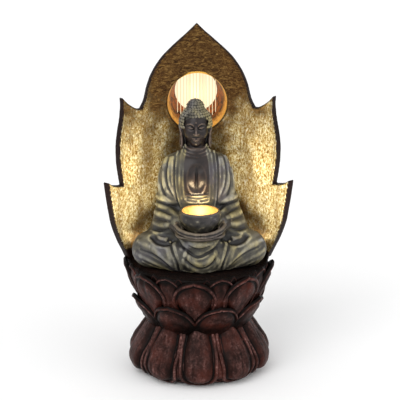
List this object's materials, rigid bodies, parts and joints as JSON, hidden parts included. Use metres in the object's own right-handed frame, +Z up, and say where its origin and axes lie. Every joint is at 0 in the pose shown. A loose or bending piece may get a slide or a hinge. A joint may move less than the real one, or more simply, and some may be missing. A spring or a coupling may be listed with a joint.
{
  "type": "tabletop water fountain",
  "caption": "Tabletop fountain: a seated robed figure holds a bowl on a lotus basin, before a cupped leaf-shaped back plate with a lit round rain window.",
  "frame": {"origin": "on the ground at the middle of the lotus pedestal, under the fountain's bounding box centre", "axes": "+Z up, -Y the front that the figure faces, +X to the right seen from the front"},
  "size_m": [0.2184, 0.1728, 0.4],
  "materials": {
    "soft_rubber": "matte",
    "black_plastic": "moulded, matte",
    "lotus_resin": "cast resin, painted mahogany with rubbed highlights",
    "dark_resin": "cast resin, painted dark brown",
    "steel": "zinc plated",
    "gold_resin": "cast resin, gold leaf finish with brown patina and dark edges",
    "back_resin": "cast resin, painted dark brown",
    "circuit_board": "white solder mask",
    "nylon_line": "clear nylon line",
    "clear_plastic": "clear moulding",
    "bronze_resin": "cast resin, painted aged bronze with grey-green patina",
    "white_plastic": "moulded",
    "magnet": "ferrite, sealed",
    "shaft_ceramic": "ground",
    "clear_hose": "clear soft hose",
    "lead_rubber": "satin",
    "lit_panel": "frosted, lit warm white",
    "warm_lens": "frosted, lit warm white"
  },
  "bodies": {
    "fountain": {"foot_ring": "soft_rubber", "base_plate": "black_plastic", "pedestal_shell": "lotus_resin", "lotus_basin": "lotus_resin", "basin_screws": "steel", "seat_plate": "dark_resin", "mandorla": "gold_resin", "mandorla_brackets": "steel", "bracket_screws": "steel", "rear_housing": "back_resin", "housing_screws": "steel", "door_hinge_pin": "steel", "cable_grommet": "soft_rubber", "window_duct": "gold_resin", "window_diffuser": "lit_panel", "window_led_board": "circuit_board", "rain_lines": "nylon_line", "drip_tray": "clear_plastic", "line_anchor_bar": "black_plastic", "buddha_figure": "bronze_resin", "figure_hands": "bronze_resin", "alms_bowl": "bronze_resin", "bowl_nozzle": "black_plastic", "bowl_lamp": "black_plastic", "bowl_lamp_lens": "warm_lens", "uplight_left": "black_plastic", "uplight_right": "black_plastic", "uplight_lens_left": "warm_lens", "uplight_lens_right": "warm_lens", "pump_body": "black_plastic", "suction_cups": "soft_rubber", "impeller_shaft": "shaft_ceramic", "tee_fitting": "white_plastic", "bowl_hose": "clear_hose", "rain_hose": "clear_hose", "lead_junction": "black_plastic", "pump_lead": "lead_rubber", "window_lamp_lead": "lead_rubber", "uplight_lead_left": "lead_rubber", "uplight_lead_right": "lead_rubber", "bowl_lamp_lead": "lead_rubber"},
    "door": {"rear_door": "back_resin"},
    "rotor": {"impeller": "white_plastic", "impeller_magnet": "magnet"},
    "cover": {"pump_cover": "black_plastic"},
    "dial": {"flow_dial": "white_plastic"}
  },
  "joints": [
    {"name": "rear_door_hinge", "type": "hinge", "parent": "fountain", "child": "door", "pos_m": [-0.0265, 0.0838, 0.192], "axis": [0, 0, 1], "range_deg": [0, 110]},
    {"name": "impeller_spin", "type": "hinge", "parent": "fountain", "child": "rotor", "pos_m": [0.005, 0.033, 0.084], "axis": [1, 0, 0], "continuous": true},
    {"name": "pump_cover_slide", "type": "slide", "parent": "fountain", "child": "cover", "axis": [-1, 0, 0], "range_m": [0, 0.012]},
    {"name": "flow_dial_turn", "type": "hinge", "parent": "cover", "child": "dial", "pos_m": [-0.015, 0.033, 0.084], "axis": [1, 0, 0], "range_deg": [0, 90]}
  ]
}
